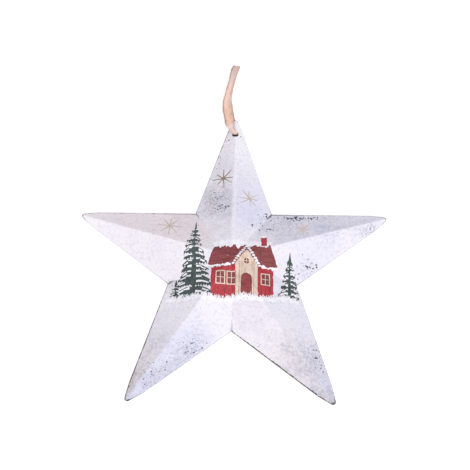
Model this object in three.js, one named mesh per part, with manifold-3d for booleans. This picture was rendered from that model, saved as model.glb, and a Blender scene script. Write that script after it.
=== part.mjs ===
// Star ornament: five folded tin arms joined along their valleys, with a ribbon loop through a hole near the top point.
// Millimetres. It lies on its open back: +Z faces the viewer, +Y runs to the top point, and z = 0 is the table.
import * as THREE from "three";
import { mergeVertices } from "three/addons/utils/BufferGeometryUtils.js";
import Module from "manifold-3d";

const wasm = await Module();
wasm.setup();

// Driving sizes of the star
const ARM_COUNT = 5;
const SPAN = 203; // across the left and right points, an 8 inch star
const PEAK_HEIGHT = 20; // where the five fold lines would meet, above the table
const SHEET = 0.5; // the tin and its paint
const BEND_RADIUS = 0.8; // inside the fold along each ridge
const POINT_TRIM = 6.5; // how much the blunted point loses from the sharp one
const POINT_ROUND = 1.5; // radius of the point's rounded end
const POINT_TAPER = 16; // the sides bend in towards the rounded end this far before the sharp point

// The folded-in rim
const RIM_HEIGHT = 1.2; // from the table to where the facets start
const HEM_WIDTH = 4; // how far the turned-in strip reaches
const HEM_PROUD = 0.15; // the fold stands out past the cut line of the sheet
const HEM_CLEARANCE = 3.25; // from the hanging hole to where the strip is snipped off
const FOLD_ROUND = 0.4; // outside radius of the rim's fold

// The lap seams along the valleys
const SEAM_GAP = 0.3; // between neighbouring sheets
const LAP_WIDTH = 5; // of the flange that passes under the next arm
const LAP_STEP = 1.5; // of the joggle that lowers the flange
const LAP_CLEARANCE = 1.5; // from the flange's upper corner to the next ridge, measured along the valley
const LAP_STOP = 6; // the seam stays open this far from the inner corner

// The hanging hole and its ribbon
const HOLE_DIAMETER = 4.5;
const HOLE_FROM_POINT = 12; // centre of the hole to the rounded end of the point
const RIBBON_WIDTH = 6.35; // quarter inch satin ribbon
const RIBBON_THICKNESS = 0.3;
const TABLE_CLEARANCE = 0.03; // under the strand that lies on the table
const NECK_THICKNESS = 1.2; // gathered where it passes through the hole
const NECK_CLEARANCE = 0.55; // from the gathered ribbon's corners to the hole
const NARROW_TO = 4; // at the neck's width this near to the hole's centre line
const WIDE_FROM = 10; // and at its full width from here on
const THICK_TO = 1.5; // at the neck's thickness this near to the hole's centre line
const THIN_FROM = 6.5; // and at its own thickness from here on

// The ribbon's route from the hole's centre: across, towards the loop's end, height, and its turn about its own line.
// It goes up through the hole, over the point, back under itself on the table, and up again inside the arm.
const RIBBON_ROUTE = [
  [0, 0, 3.7, 0],
  [-0.1, 0.2, 4.9, 0],
  [-1.0, 1.6, 5.6, 0],
  [-2.9, 3.6, 5.0, 3],
  [-4.4, 6.8, 4.4, 6],
  [-5.6, 12.5, 3.7, 10],
  [-6.6, 18.5, 3.3, 18],
  [-6.7, 24.5, 4.1, 40],
  [-5.9, 31.0, 5.1, 58],
  [-4.2, 39.5, 5.5, 66],
  [-1.9, 49.5, 5.1, 61],
  [-0.3, 55.4, 4.5, 34],
  [-0.2, 56.8, 3.7, 0],
  [-0.8, 56.2, 2.8, -26],
  [-2.2, 50.0, 2.7, -48],
  [-4.0, 39.5, 3.0, -60],
  [-5.1, 31.0, 2.8, -55],
  [-5.3, 24.0, 1.7, -27],
  [-4.6, 18.0, 0.7, -9],
  [-3.4, 12.0, 0.2, 0],
  [-2.3, 8.4, 0.17, 0],
  [-1.1, 4.7, 0.2, 0],
  [-0.3, 2.3, 0.7, 0],
  [0, 0.8, 2.2, 0],
];

// Sizes that follow
const POINT_ANGLE = Math.PI / 10; // half the angle of a point
const VALLEY_ANGLE = Math.PI / ARM_COUNT; // from an arm's ridge to its valley
const POINT_CENTRE_BACK = POINT_TRIM + POINT_ROUND; // the rounding's centre from the sharp point
const SIDE_ARM_TILT = Math.PI / 2 - 2 * VALLEY_ANGLE; // the side arms' rise above level
const SHARP_RADIUS = (SPAN / 2 - POINT_ROUND) / Math.cos(SIDE_ARM_TILT) + POINT_CENTRE_BACK;
const CORNER_RADIUS =
  (SHARP_RADIUS * Math.sin(POINT_ANGLE)) / Math.sin(POINT_ANGLE + VALLEY_ANGLE);
const RISE = PEAK_HEIGHT - RIM_HEIGHT;
const HOLE_Y = SHARP_RADIUS - POINT_TRIM - HOLE_FROM_POINT;
const HEM_STOP = POINT_TRIM + HOLE_FROM_POINT + HOLE_DIAMETER / 2 + HEM_CLEARANCE; // from the sharp point
const LAP_START = LAP_WIDTH / Math.sin(VALLEY_ANGLE) + LAP_CLEARANCE; // from the centre, measured level
const NECK_WIDTH = Math.min(
  RIBBON_WIDTH,
  2 * Math.sqrt((HOLE_DIAMETER / 2 - NECK_CLEARANCE) ** 2 - (NECK_THICKNESS / 2) ** 2),
);
const LOW_ARM_REACH =
  (SHARP_RADIUS - POINT_CENTRE_BACK) * Math.cos(VALLEY_ANGLE) + POINT_ROUND;
const CENTRE_Y = (LOW_ARM_REACH - (SHARP_RADIUS - POINT_TRIM)) / 2; // the outline's box is centred on the origin

const MARGIN = 5; // tools run this far past what they cut
const ARC_STEPS = 5;
const RINGS_PER_POINT = 5;

const tin = { color: 0xe9e7f1, roughness: 0.62, metalness: 0.0 };
const satin = { color: 0xdca286, roughness: 0.45, metalness: 0.0 };

// A closed geometry as a solid that can be joined and cut
function solid(geometry, matrix) {
  const bare = new THREE.BufferGeometry();
  const source = geometry.index ? geometry.toNonIndexed() : geometry;
  bare.setAttribute("position", source.getAttribute("position").clone());
  if (matrix) bare.applyMatrix4(matrix);
  const merged = mergeVertices(bare, 1e-4);
  return new wasm.Manifold(
    new wasm.Mesh({
      numProp: 3,
      vertProperties: merged.attributes.position.array,
      triVerts: new Uint32Array(merged.index.array),
    }),
  );
}

function geometryOf(manifold) {
  const mesh = manifold.getMesh();
  const geometry = new THREE.BufferGeometry();
  geometry.setAttribute("position", new THREE.BufferAttribute(mesh.vertProperties, 3));
  geometry.setIndex(new THREE.BufferAttribute(mesh.triVerts, 1));
  const shaded = geometry.toNonIndexed();
  shaded.computeVertexNormals();
  return shaded;
}

function polygon(points) {
  return new THREE.Shape(points.map(([x, y]) => new THREE.Vector2(x, y)));
}

function extruded(shape, depth, matrix) {
  const options = { depth, bevelEnabled: false, curveSegments: ARC_STEPS };
  return solid(new THREE.ExtrudeGeometry(shape, options), matrix);
}

// A frame whose local x, y and z run along three given directions, placed at a point
function placed(x, y, z, origin) {
  return new THREE.Matrix4().makeBasis(x, y, z).setPosition(origin);
}

// Points of one arm, which runs along +Y from the star's centre
const peak = new THREE.Vector3(0, 0, PEAK_HEIGHT);
const sharpPoint = new THREE.Vector3(0, SHARP_RADIUS, RIM_HEIGHT);
const innerCorner = new THREE.Vector3(
  CORNER_RADIUS * Math.sin(VALLEY_ANGLE),
  CORNER_RADIUS * Math.cos(VALLEY_ANGLE),
  RIM_HEIGHT,
);

// The cross-section of the folded sheet: two flat sides that meet in a bend, with the sharp fold line at the origin
function foldedProfile(halfWidth, slope) {
  const outer = BEND_RADIUS + SHEET;
  const centre = -outer / Math.cos(slope);
  const tan = Math.tan(slope);
  const drop = SHEET / Math.cos(slope);
  const shape = new THREE.Shape();
  shape.moveTo(halfWidth, -halfWidth * tan);
  shape.absarc(0, centre, outer, Math.PI / 2 - slope, Math.PI / 2 + slope, false);
  shape.lineTo(-halfWidth, -halfWidth * tan);
  shape.lineTo(-halfWidth, -halfWidth * tan - drop);
  shape.absarc(0, centre, BEND_RADIUS, Math.PI / 2 + slope, Math.PI / 2 - slope, true);
  shape.lineTo(halfWidth, -halfWidth * tan - drop);
  shape.closePath();
  return shape;
}

// The sheet folded along the ridge, as a strip that runs past the arm at both ends
function foldedStrip() {
  const across = new THREE.Vector3(1, 0, 0);
  const along = peak.clone().sub(sharpPoint).normalize();
  const up = along.clone().cross(across).normalize();
  const toCorner = innerCorner.clone().sub(peak);
  const slope = Math.atan2(-toCorner.dot(up), toCorner.dot(across));
  const start = sharpPoint.clone().addScaledVector(along, -MARGIN);
  const length = peak.distanceTo(sharpPoint) + 2 * MARGIN;
  const halfWidth = innerCorner.x + MARGIN;
  return extruded(foldedProfile(halfWidth, slope), length, placed(across, up, along, start));
}

// The arm's outline seen from the front: valley, inner corner, straight edge, tapered end and rounded point
function armOutline() {
  const gap = SEAM_GAP / 2;
  const edge = Math.tan(POINT_ANGLE);
  const sin = Math.sin(VALLEY_ANGLE);
  const cos = Math.cos(VALLEY_ANGLE);
  const cornerY = (SHARP_RADIUS * edge * cos + gap) / (sin + edge * cos);
  const cornerX = (SHARP_RADIUS - cornerY) * edge;
  const taperX = POINT_TAPER * edge;
  const taperY = SHARP_RADIUS - POINT_TAPER;
  const roundY = SHARP_RADIUS - POINT_CENTRE_BACK;
  const reach = Math.hypot(taperX, roundY - taperY);
  const tangent = Math.acos(POINT_ROUND / reach) - Math.atan2(roundY - taperY, taperX);
  const shape = new THREE.Shape();
  shape.moveTo(0, gap / sin);
  shape.lineTo(cornerX, cornerY);
  shape.lineTo(taperX, taperY);
  shape.absarc(0, roundY, POINT_ROUND, tangent, Math.PI - tangent, false);
  shape.lineTo(-taperX, taperY);
  shape.lineTo(-cornerX, cornerY);
  shape.closePath();
  return shape;
}

// The rim's fold and its turned-in strip, in a section square to the arm's edge: x inwards, y up
function hemProfile() {
  const edgeSlope = RISE / (SHARP_RADIUS * Math.sin(POINT_ANGLE));
  const tuck = SHEET / 3; // the fold's top ends inside the sheet
  const inner = SHEET - HEM_PROUD;
  const shape = new THREE.Shape();
  shape.moveTo(-HEM_PROUD, FOLD_ROUND);
  shape.absarc(FOLD_ROUND - HEM_PROUD, FOLD_ROUND, FOLD_ROUND, Math.PI, 1.5 * Math.PI, false);
  shape.lineTo(HEM_WIDTH, 0);
  shape.lineTo(HEM_WIDTH, SHEET);
  shape.lineTo(inner, SHEET);
  shape.lineTo(inner, RIM_HEIGHT + inner * edgeSlope - tuck);
  shape.lineTo(-HEM_PROUD, RIM_HEIGHT - tuck);
  shape.closePath();
  return shape;
}

// The strip along one edge, cut square at the inner corner and snipped at 45 degrees near the point
function hem() {
  const inwards = new THREE.Vector3(-Math.cos(POINT_ANGLE), -Math.sin(POINT_ANGLE), 0);
  const up = new THREE.Vector3(0, 0, 1);
  const along = inwards.clone().cross(up);
  const foot = new THREE.Vector3(innerCorner.x, innerCorner.y, 0);
  const edge = Math.hypot(innerCorner.x, SHARP_RADIUS - innerCorner.y);
  const stop = edge - HEM_STOP / Math.cos(POINT_ANGLE);
  const strip = extruded(hemProfile(), stop, placed(inwards, up, along, foot));
  const snip = polygon([
    [-MARGIN, SEAM_GAP / 2],
    [HEM_WIDTH + MARGIN, SEAM_GAP / 2],
    [HEM_WIDTH + MARGIN, stop - HEM_WIDTH - MARGIN],
    [-HEM_PROUD, stop],
    [-MARGIN, stop],
  ]);
  const level = placed(inwards, along, up.clone().negate(), foot.clone().setZ(MARGIN));
  return strip.intersect(extruded(snip, 2 * MARGIN, level));
}

// The flange along one valley: lowered under the next arm's sheet, and open over the last stretch of the seam
function lapFlange() {
  const along = innerCorner.clone().sub(peak).normalize();
  const across = new THREE.Vector3(Math.cos(VALLEY_ANGLE), -Math.sin(VALLEY_ANGLE), 0);
  const up = across.clone().cross(along).normalize();
  const toPoint = sharpPoint.clone().sub(peak);
  const slope = Math.atan2(toPoint.dot(up), -toPoint.dot(across));
  const tan = Math.tan(slope);
  const depth = (offset) => offset / Math.cos(slope);
  const top = SHEET + SEAM_GAP;
  const bottom = top + SHEET;
  const profile = polygon([
    [-SEAM_GAP / 2, -depth(top)],
    [0, -depth(top)],
    [LAP_WIDTH, LAP_WIDTH * tan - depth(top)],
    [LAP_WIDTH, LAP_WIDTH * tan - depth(bottom)],
    [0, -depth(bottom)],
    [-LAP_STEP, LAP_STEP * tan - depth(bottom)],
    [-LAP_STEP, LAP_STEP * tan - depth(SHEET / 2)],
    [-SEAM_GAP / 2, (SEAM_GAP / 2) * tan - depth(SHEET / 2)],
  ]);
  const slant = peak.distanceTo(innerCorner) / CORNER_RADIUS;
  const start = peak.clone().addScaledVector(along, LAP_START * slant);
  const length = (CORNER_RADIUS - LAP_STOP - LAP_START) * slant;
  const backwards = along.clone().negate();
  const end = start.clone().addScaledVector(along, length);
  return extruded(profile, length, placed(across, up, backwards, end));
}

function mirrored(manifold) {
  return manifold.mirror([1, 0, 0]);
}

// One arm: folded sheet cut to its outline, a hem on both edges and a flange on one valley
function armSolid(withHole) {
  const upright = new THREE.Matrix4().setPosition(0, 0, -MARGIN);
  const outline = extruded(armOutline(), PEAK_HEIGHT + 2 * MARGIN, upright);
  const edgeHem = hem();
  let arm = foldedStrip().intersect(outline);
  arm = arm.add(edgeHem).add(mirrored(edgeHem)).add(lapFlange());
  if (withHole) {
    const drill = new THREE.CylinderGeometry(HOLE_DIAMETER / 2, HOLE_DIAMETER / 2, PEAK_HEIGHT, 32);
    const turn = new THREE.Matrix4().makeRotationX(Math.PI / 2).setPosition(0, HOLE_Y, 0);
    arm = arm.subtract(solid(drill, turn));
  }
  return arm;
}

function tinMesh(name, manifold) {
  const mesh = new THREE.Mesh(geometryOf(manifold), new THREE.MeshStandardMaterial(tin));
  mesh.name = name;
  return mesh;
}

// The ribbon's closed loop: an eight-sided flat section carried along its route
function ribbonGeometry(steps) {
  const points = RIBBON_ROUTE.map(([x, y, z]) => new THREE.Vector3(x, y, z));
  const curve = new THREE.CatmullRomCurve3(points, true, "centripetal");
  const reference = new THREE.Vector3(1, 0, 0);
  const positions = [];
  const index = [];
  const sides = 8;
  for (let i = 0; i < steps; i++) {
    const t = i / steps;
    const centre = curve.getPoint(t);
    const along = curve.getTangent(t);
    const turn = THREE.MathUtils.degToRad(routeTurn(t));
    const level = reference.clone().addScaledVector(along, -reference.dot(along)).normalize();
    const across = level.clone().applyAxisAngle(along, turn);
    const normal = along.clone().cross(across);
    const narrowed = gathering(centre, NARROW_TO, WIDE_FROM);
    const thickened = gathering(centre, THICK_TO, THIN_FROM) ** 2;
    const w = THREE.MathUtils.lerp(RIBBON_WIDTH, NECK_WIDTH, narrowed) / 2;
    const h = THREE.MathUtils.lerp(RIBBON_THICKNESS, NECK_THICKNESS, thickened) / 2;
    const section = [
      [w, -h / 2],
      [w, h / 2],
      [w - h, h],
      [h - w, h],
      [-w, h / 2],
      [-w, -h / 2],
      [h - w, -h],
      [w - h, -h],
    ];
    const corners = section.map(([a, b]) =>
      centre.clone().addScaledVector(across, a).addScaledVector(normal, b),
    );
    const lift = Math.max(0, TABLE_CLEARANCE - Math.min(...corners.map((corner) => corner.z)));
    for (const corner of corners) positions.push(corner.x, corner.y, corner.z + lift);
    const next = ((i + 1) % steps) * sides;
    for (let k = 0; k < sides; k++) {
      const a = i * sides + k;
      const b = i * sides + ((k + 1) % sides);
      const c = next + k;
      const d = next + ((k + 1) % sides);
      index.push(a, b, d, a, d, c);
    }
  }
  const geometry = new THREE.BufferGeometry();
  geometry.setAttribute("position", new THREE.Float32BufferAttribute(positions, 3));
  geometry.setIndex(index);
  return geometry;
}

// The ribbon's turn about its own line at a share of the route, in degrees
function routeTurn(t) {
  const place = t * RIBBON_ROUTE.length;
  const before = Math.floor(place) % RIBBON_ROUTE.length;
  const after = (before + 1) % RIBBON_ROUTE.length;
  const ease = THREE.MathUtils.smoothstep(place - Math.floor(place), 0, 1);
  return THREE.MathUtils.lerp(RIBBON_ROUTE[before][3], RIBBON_ROUTE[after][3], ease);
}

// How far the ribbon is gathered, by its distance from the hole's centre line: 1 up to near, 0 from far on
function gathering(centre, near, far) {
  return 1 - THREE.MathUtils.smoothstep(Math.hypot(centre.x, centre.y), near, far);
}

const ornament = new THREE.Group();

const star = new THREE.Group();
star.position.y = CENTRE_Y;
ornament.add(star);

// Going round from the top point, towards -X first
const armNames = ["top_arm", "left_arm", "lower_left_arm", "lower_right_arm", "right_arm"];
const plainArm = armSolid(false);
const holedArm = armSolid(true);
armNames.forEach((name, k) => {
  const arm = tinMesh(name, k === 0 ? holedArm : plainArm);
  arm.rotation.z = (k * 2 * Math.PI) / ARM_COUNT;
  star.add(arm);
});

const ribbon = new THREE.Mesh(
  ribbonGeometry(RIBBON_ROUTE.length * RINGS_PER_POINT),
  new THREE.MeshStandardMaterial({ ...satin, side: THREE.DoubleSide }),
);
ribbon.name = "ribbon_loop";
ribbon.position.y = HOLE_Y;
star.add(ribbon);

export default ornament;
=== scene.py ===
from math import acos, atan, atan2, cos, hypot, pi, radians, sin, sqrt, tan
from random import Random

import bpy
from mathutils import Matrix, Vector, geometry, noise


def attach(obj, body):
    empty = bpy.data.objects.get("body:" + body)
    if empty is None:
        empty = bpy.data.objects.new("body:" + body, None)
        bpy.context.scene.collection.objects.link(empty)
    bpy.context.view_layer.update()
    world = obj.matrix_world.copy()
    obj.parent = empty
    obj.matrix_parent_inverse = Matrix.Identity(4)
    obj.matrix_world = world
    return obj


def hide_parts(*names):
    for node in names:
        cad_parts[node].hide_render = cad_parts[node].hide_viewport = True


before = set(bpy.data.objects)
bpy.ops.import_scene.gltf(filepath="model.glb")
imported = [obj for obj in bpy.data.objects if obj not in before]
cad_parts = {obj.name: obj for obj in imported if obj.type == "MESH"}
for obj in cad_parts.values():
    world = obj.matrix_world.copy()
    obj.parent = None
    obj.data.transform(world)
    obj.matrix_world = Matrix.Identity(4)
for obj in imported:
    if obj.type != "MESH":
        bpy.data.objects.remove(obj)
scene = bpy.context.scene
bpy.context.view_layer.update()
NOISE_SEED = 5  # the brushed edges come out the same each run
noise.seed_set(NOISE_SEED)

# Sizes in millimetres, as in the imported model; each mesh is scaled to metres when it is made
MM = 0.001
ARM_COUNT = 5
SPAN = 203.0
PEAK_HEIGHT = 20.0
RIM_HEIGHT = 1.2
SHEET = 0.5
BEND_RADIUS = 0.8
POINT_TRIM = 6.5
POINT_ROUND = 1.5
POINT_TAPER = 16.0
HEM_PROUD = 0.15
OPEN_SEAM = 6.0
HOLE_DIAMETER = 4.5
HOLE_FROM_POINT = 12.0
HEM_CLEARANCE = 3.25
RIBBON_WIDTH = 6.35
RIBBON_THICKNESS = 0.26
NECK_THICKNESS = 1.2
NECK_CLEARANCE = 0.55
RIB_PITCH = 0.42
WARP_PITCH = 0.30
EDGE_LINE = (1.1, 0.15)  # its dark edge begins and is full this far inside

POINT_ANGLE = radians(18)
VALLEY_ANGLE = pi / ARM_COUNT
POINT_CENTRE_BACK = POINT_TRIM + POINT_ROUND
SIDE_ARM_TILT = pi / 2 - 2 * VALLEY_ANGLE
SHARP_RADIUS = (SPAN / 2 - POINT_ROUND) / cos(SIDE_ARM_TILT) + POINT_CENTRE_BACK
CORNER_RADIUS = SHARP_RADIUS * sin(POINT_ANGLE) / sin(POINT_ANGLE + VALLEY_ANGLE)
RISE = PEAK_HEIGHT - RIM_HEIGHT
TAPER_X = POINT_TAPER * tan(POINT_ANGLE)
TAPER_Y = SHARP_RADIUS - POINT_TAPER
ROUND_Y = SHARP_RADIUS - POINT_CENTRE_BACK
TANGENT_ANGLE = acos(POINT_ROUND / hypot(TAPER_X, ROUND_Y - TAPER_Y)) - atan2(ROUND_Y - TAPER_Y, TAPER_X)
HOLE_Y = SHARP_RADIUS - POINT_TRIM - HOLE_FROM_POINT
HEM_END = HOLE_Y - HOLE_DIAMETER / 2 - HEM_CLEARANCE  # each arm's hem stops this far from the centre
NECK_WIDTH = 2 * sqrt((HOLE_DIAMETER / 2 - NECK_CLEARANCE) ** 2 - (NECK_THICKNESS / 2) ** 2)
LOW_ARM_REACH = ROUND_Y * cos(VALLEY_ANGLE) + POINT_ROUND
CENTRE_Y = (LOW_ARM_REACH - (SHARP_RADIUS - POINT_TRIM)) / 2  # the star's centre in the row frame

# The slopes of a facet in its own arm's axes: along the ridge, and across it
FALL_ALONG = RISE / SHARP_RADIUS
FALL_ACROSS = (RISE - FALL_ALONG * CORNER_RADIUS * cos(VALLEY_ANGLE)) / (CORNER_RADIUS * sin(VALLEY_ANGLE))
RIDGE_STRETCH = hypot(SHARP_RADIUS, RISE) / SHARP_RADIUS
RIDGE_SLOPE = atan(FALL_ACROSS / RIDGE_STRETCH)
RIDGE_ROUND = BEND_RADIUS + SHEET
ROUND_HALF = RIDGE_ROUND * sin(RIDGE_SLOPE)


# Colours

def srgb(red, green, blue):
    """A colour given as it should look on screen, 0 to 255, as the linear values that shaders take."""
    def linear(value):
        share = value / 255
        return share / 12.92 if share <= 0.04045 else ((share + 0.055) / 1.055) ** 2.4

    return (linear(red), linear(green), linear(blue), 1.0)


CHALK = srgb(238, 234, 244)
CHALK_COOL = srgb(220, 218, 238)
CHALK_WARM = srgb(242, 228, 234)
CHALK_BLUE = srgb(216, 216, 242)
SLATE = srgb(88, 90, 106)
SLATE_BLUE = srgb(100, 110, 142)
SLATE_BROWN = srgb(116, 92, 92)
FLECK = srgb(62, 66, 92)
FLECK_DARK = srgb(42, 42, 56)
ANTIQUE_BROWN = srgb(104, 66, 62)
# Slate for the rubbed rims, and for the painted shade in the open seams' slits
SLATE_ANTIQUE_AND_SHADE = srgb(58, 52, 56)
DULL_TIN = srgb(150, 150, 154)
PALE_TIN = srgb(178, 178, 184)
BARN_RED = srgb(184, 46, 58)
BARN_RED_DARK = srgb(142, 30, 40)
MAROON = srgb(134, 58, 62)
MAROON_DARK = srgb(94, 32, 38)
CREAM = srgb(226, 206, 192)
CREAM_DARK = srgb(184, 152, 132)
FIR_GREEN = srgb(62, 76, 74)
FIR_GREEN_DARK = srgb(34, 48, 50)
FIR_GREY = srgb(176, 188, 196)
SNOW = srgb(245, 243, 250)
GOLD = srgb(150, 122, 100)
GOLD_DARK = srgb(96, 72, 62)
GOLD_FAINT = srgb(200, 180, 170)
GOLD_GHOST = srgb(214, 200, 200)
PEACH = srgb(243, 205, 189)
PEACH_DARK = srgb(206, 142, 110)
PEACH_EDGE = srgb(150, 102, 84)
# the colour of the ribbon's painted highlight
PEACH_HIGHLIGHT = srgb(246, 226, 220)
PEACH_ROSY = srgb(206, 186, 186)
PEACH_SHADE = srgb(198, 168, 160)
PEACH_TAN_SHADE = srgb(206, 164, 140)
TABLE_PALE = (0.92, 0.92, 0.92, 1.0)  # as linear values, like the two below
# a painted shadow on the table under the hole
HOLE_SHADOW = (0.03, 0.03, 0.03, 1.0)
FULL_WHITE = (1.0, 1.0, 1.0, 1.0)


# Shader helpers

MIX_FIRST, MIX_SECOND, MIX_RESULT = 6, 7, 2  # the colour sockets of a Mix node


class Nodes:
    """A material's node tree with short calls for the nodes used here."""

    def __init__(self, name, roughness, colour):
        self.material = bpy.data.materials.new(name)
        self.material.use_nodes = True
        self.tree = self.material.node_tree
        self.shader = self.tree.nodes["Principled BSDF"]
        self.shader.inputs["Roughness"].default_value = roughness
        self.colour = colour

    def feed(self, socket, value):
        """Links a socket to another node's output, or sets it to a plain value."""
        if isinstance(value, bpy.types.NodeSocket):
            self.tree.links.new(value, socket)
        else:
            socket.default_value = value

    def add(self, kind, inputs=(), **settings):
        """A node with its settings, and what its inputs get, by name or number."""
        node = self.tree.nodes.new("ShaderNode" + kind)
        for key, value in settings.items():
            setattr(node, key, value)
        for key, value in dict(inputs).items():
            self.feed(node.inputs[key], value)
        return node

    def place(self):
        return self.add("TexCoord").outputs["Object"]

    def attribute(self, name):
        return self.add("Attribute", attribute_name=name).outputs["Fac"]

    def stretched(self, scale):
        return self.add("Mapping", {"Vector": self.place(), "Scale": scale}).outputs["Vector"]

    def noise(self, scale, detail, rough, vector=None):
        inputs = {"Vector": vector or self.place(), "Scale": scale, "Detail": detail, "Roughness": rough}
        return self.add("TexNoise", inputs).outputs["Fac"]

    def specks(self, scale):
        """Distance to the nearest of a scatter of points, and a random value for each point."""
        outputs = self.add("TexVoronoi", {"Vector": self.place(), "Scale": scale}).outputs
        return outputs["Distance"], outputs["Color"]

    def math(self, operation, *values):
        return self.add("Math", enumerate(values), operation=operation).outputs[0]

    def times(self, first, *others):
        for other in others:
            first = self.math("MULTIPLY", first, other)
        return first

    def level(self, value, slope, base):
        return self.math("MULTIPLY_ADD", value, slope, base)

    def patches(self, scale, detail, rough, low, high):
        """Soft patches of noise: bare below low, full above high."""
        return self.ramp(self.noise(scale, detail, rough), low, high)

    def seen(self):
        """1 for rays that show a background, for the table and the world only."""
        rays = self.add("LightPath").outputs
        direct = self.math("MAXIMUM", rays["Is Camera Ray"], rays["Is Glossy Ray"])
        return self.math("MAXIMUM", direct, rays["Is Transmission Ray"])

    def ramp(self, value, low, high):
        """0 below low, 1 above high, smooth between; low may be above high to turn it round."""
        ends = {"To Min": 0.0, "To Max": 1.0} if low < high else {"To Min": 1.0, "To Max": 0.0}
        inputs = {"Value": value, "From Min": min(low, high), "From Max": max(low, high), **ends}
        return self.add("MapRange", inputs, interpolation_type="SMOOTHSTEP").outputs["Result"]

    def mix(self, share, first, second):
        inputs = {"Factor": share, MIX_FIRST: first, MIX_SECOND: second}
        return self.add("Mix", inputs, data_type="RGBA").outputs[MIX_RESULT]

    def over(self, share, colour):
        """Lays another colour over what the material has so far."""
        self.colour = self.mix(share, self.colour, colour)
        self.feed(self.shader.inputs["Base Color"], self.colour)

    def bump(self, height, depth, strength):
        node = self.add("Bump", {"Height": height, "Distance": depth, "Strength": strength})
        self.feed(self.shader.inputs["Normal"], node.outputs["Normal"])


class WorldNodes(Nodes):
    """The same short calls for the world's node tree."""

    def __init__(self, name):
        self.world = bpy.data.worlds.new(name)
        self.world.use_nodes = True
        self.tree = self.world.node_tree


def chalk_coat():
    """Chalky white paint: clouds, brushed streaks, slate spatter, rims rubbed to brown and slate, painted
    shade and light on the facets, and painted shade in the open seams' slits.
    """
    n = Nodes("chalk_coat", 0.72, CHALK)
    pink = n.attribute("pink")
    grime_and_shade = n.attribute("grey")
    n.over(n.times(n.patches(28, 3, 0.6, 0.40, 0.66), 0.45), CHALK_COOL)
    n.over(n.ramp(pink, 0.0, 1.0), CHALK_WARM)
    n.over(n.ramp(pink, 0.0, -1.0), CHALK_BLUE)
    # Whiter where the grey value is negative: painted light on some facets
    n.over(n.ramp(grime_and_shade, 0.0, -1.0), SNOW)
    # Greyer where it is positive: grime patches, and painted shade on some facets
    broad = n.level(n.patches(110, 5, 0.7, 0.36, 0.68), 0.34, 0.14)
    fine = n.level(n.patches(560, 2, 0.5, 0.36, 0.64), 0.5, 0.75)
    n.over(n.times(grime_and_shade, broad, fine), n.mix(n.ramp(pink, 0.3, 1.1), SLATE, SLATE_BROWN))

    streaks = n.noise(240, 4, 0.6, n.stretched((0.25, 1.0, 1.0)))
    grain = n.noise(620, 3, 0.75)
    n.over(n.times(n.ramp(streaks, 0.54, 0.74), 0.10), SLATE)
    n.over(n.times(n.ramp(grain, 0.50, 0.74), 0.22), SLATE)

    density = n.attribute("spatter")
    dense_enough = n.ramp(density, 0.02, 0.35)
    for scale, strength in ((2100, 0.34), (1200, 0.46)):
        distance, chance = n.specks(scale)
        size = n.times(n.ramp(n.times(chance, density), 0.05, 0.75), 0.38)
        dots = n.times(n.ramp(n.math("SUBTRACT", distance, size), 0.10, -0.08), strength)
        n.over(n.times(dots, dense_enough), SLATE)
    n.over(n.times(density, n.patches(620, 6, 0.8, 0.40, 0.66), 0.34), SLATE_BLUE)

    wander = n.level(n.noise(330, 3, 0.7), 1.5, -0.40)
    reach = n.times(n.attribute("rim_wear"), wander)
    beyond = n.math("SUBTRACT", n.attribute("rim_distance"), reach)
    brownish = n.level(pink, -0.3, n.noise(90, 3, 0.6))
    rust = n.mix(n.ramp(brownish, 0.22, 0.42), ANTIQUE_BROWN, SLATE_ANTIQUE_AND_SHADE)
    n.over(n.times(n.ramp(beyond, -0.10, -0.34), 0.92), rust)
    # Painted shade in and beside the slit at each open seam's end
    n.over(n.times(n.ramp(n.attribute("seam"), 0.4, 1.0), n.attribute("seam_shade_tone")), SLATE_ANTIQUE_AND_SHADE)
    n.bump(n.math("ADD", n.times(streaks, 0.6), n.times(grain, 0.4)), 0.00006, 0.5)
    return n.material


def bare_tin():
    """The folded sheet itself: chalk paint where it faces out, dull zinc-grey tin with overspray inside."""
    n = Nodes("painted_tin_sheet", 0.5, CHALK)
    facing = n.add("SeparateXYZ", {"Vector": n.add("TexCoord").outputs["Normal"]})
    spangle = n.noise(160, 4, 0.65)
    tin = n.mix(n.ramp(spangle, 0.35, 0.7), DULL_TIN, PALE_TIN)
    tin = n.mix(n.times(n.patches(60, 3, 0.6, 0.5, 0.75), 0.6), tin, CHALK_COOL)
    n.over(n.times(n.patches(300, 3, 0.7, 0.5, 0.62), 0.4), DULL_TIN)
    n.over(n.ramp(facing.outputs["Z"], -0.2, -0.5), tin)
    n.bump(spangle, 0.00005, 0.4)
    return n.material


STREAKS = (1.0, 0.3, 1.0)
UPRIGHT_STREAKS = (0.3, 1.0, 1.0)


def brushed_paint(name, light, dark, contrast=0.8, streak=STREAKS):
    """A motif's paint: streaks of a darker tone and a few chalky rubbed specks."""
    n = Nodes(name, 0.62, light)
    strokes = n.noise(420, 4, 0.65, n.stretched(streak))
    n.over(n.times(n.ramp(strokes, 0.42, 0.70), contrast), dark)
    n.over(n.times(n.patches(1100, 2, 0.6, 0.66, 0.76), 0.5), CHALK)
    n.bump(strokes, 0.00008, 0.6)
    return n.material


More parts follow.
